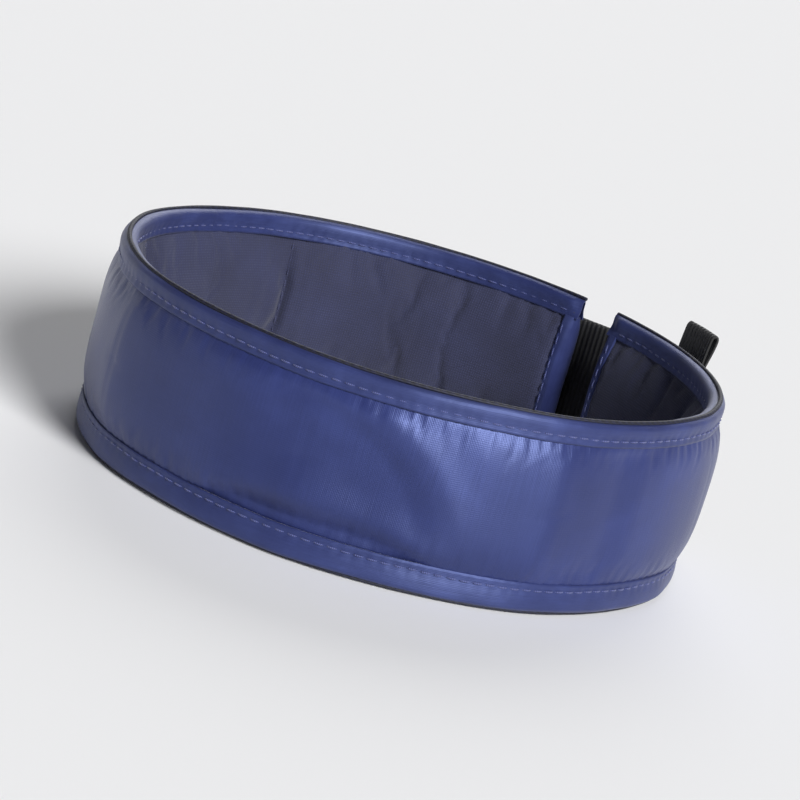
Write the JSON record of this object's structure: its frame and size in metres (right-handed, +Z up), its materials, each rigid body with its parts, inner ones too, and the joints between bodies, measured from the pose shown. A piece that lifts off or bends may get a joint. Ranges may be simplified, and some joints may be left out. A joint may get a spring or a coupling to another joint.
{
  "type": "elizabethan collar",
  "caption": "Soft padded recovery neck band for a dog: satin cloth tube with foam pads, bound edges and a hook-and-loop strap at the nape.",
  "frame": {"origin": "middle of the footprint of the closed band standing on its lower edge", "axes": "+Z up along the neck, -Y to the throat, +Y to the nape, where the strap closes"},
  "size_m": [0.14, 0.145, 0.047],
  "materials": {
    "satin_cloth": "satin",
    "edge_binding": "satin",
    "lining_cloth": "matte",
    "foam": "matte",
    "strap_webbing": "matte",
    "hook_tape": "matte",
    "loop_tape": "matte"
  },
  "bodies": {
    "band_right": {"outer_cloth_right": "satin_cloth", "lining_right": "lining_cloth", "top_binding_right": "edge_binding", "bottom_binding_right": "edge_binding", "foam_pad_right_front": "foam", "foam_pad_right_side": "foam", "foam_pad_right_end": "foam", "end_facing_right": "satin_cloth", "loop_field": "loop_tape"},
    "band_front": {"outer_cloth_front": "satin_cloth", "lining_front": "lining_cloth", "top_binding_front": "edge_binding", "bottom_binding_front": "edge_binding", "foam_pad_front": "foam"},
    "band_left_front": {"outer_cloth_left_front": "satin_cloth", "lining_left_front": "lining_cloth", "top_binding_left_front": "edge_binding", "bottom_binding_left_front": "edge_binding", "foam_pad_left_front": "foam"},
    "band_left_side": {"outer_cloth_left_side": "satin_cloth", "lining_left_side": "lining_cloth", "top_binding_left_side": "edge_binding", "bottom_binding_left_side": "edge_binding", "foam_pad_left_side": "foam"},
    "band_left_end": {"outer_cloth_left_end": "satin_cloth", "lining_left_end": "lining_cloth", "top_binding_left_end": "edge_binding", "bottom_binding_left_end": "edge_binding", "foam_pad_left_end": "foam", "end_facing_left": "satin_cloth", "strap_sewn_end": "strap_webbing"},
    "strap_lift": {"strap_middle": "strap_webbing", "hook_tape_middle": "hook_tape"},
    "strap_tip": {"strap_free_end": "strap_webbing", "hook_tape_free_end": "hook_tape", "pull_tab": "strap_webbing"}
  },
  "joints": [
    {"name": "fold_front_right", "type": "hinge", "parent": "band_right", "child": "band_front", "pos_m": [0.02679, -0.06717, 0.02225], "axis": [0, 0, 1], "range_deg": [0, 45]},
    {"name": "fold_front_left", "type": "hinge", "parent": "band_front", "child": "band_left_front", "pos_m": [-0.02679, -0.06717, 0.02225], "axis": [0, 0, 1], "range_deg": [0, 45]},
    {"name": "fold_left_side", "type": "hinge", "parent": "band_left_front", "child": "band_left_side", "pos_m": [-0.06467, -0.02929, 0.02225], "axis": [0, 0, 1], "range_deg": [0, 45]},
    {"name": "fold_left_back", "type": "hinge", "parent": "band_left_side", "child": "band_left_end", "pos_m": [-0.06467, 0.02429, 0.02225], "axis": [0, 0, 1], "range_deg": [0, 45]},
    {"name": "strap_peel", "type": "hinge", "parent": "band_left_end", "child": "strap_lift", "pos_m": [0, 0.0725, 0.02225], "axis": [0, 0, 1], "range_deg": [0, 60]},
    {"name": "strap_curl", "type": "hinge", "parent": "strap_lift", "child": "strap_tip", "pos_m": [0.01941, 0.06994, 0.02225], "axis": [0, 0, 1], "range_deg": [0, 60]}
  ],
  "couplings": [
    {"joint": "fold_front_left", "follows": "fold_front_right", "ratio": 1},
    {"joint": "fold_left_side", "follows": "fold_front_right", "ratio": 1},
    {"joint": "fold_left_back", "follows": "fold_front_right", "ratio": 1},
    {"joint": "strap_curl", "follows": "strap_peel", "ratio": 1}
  ]
}
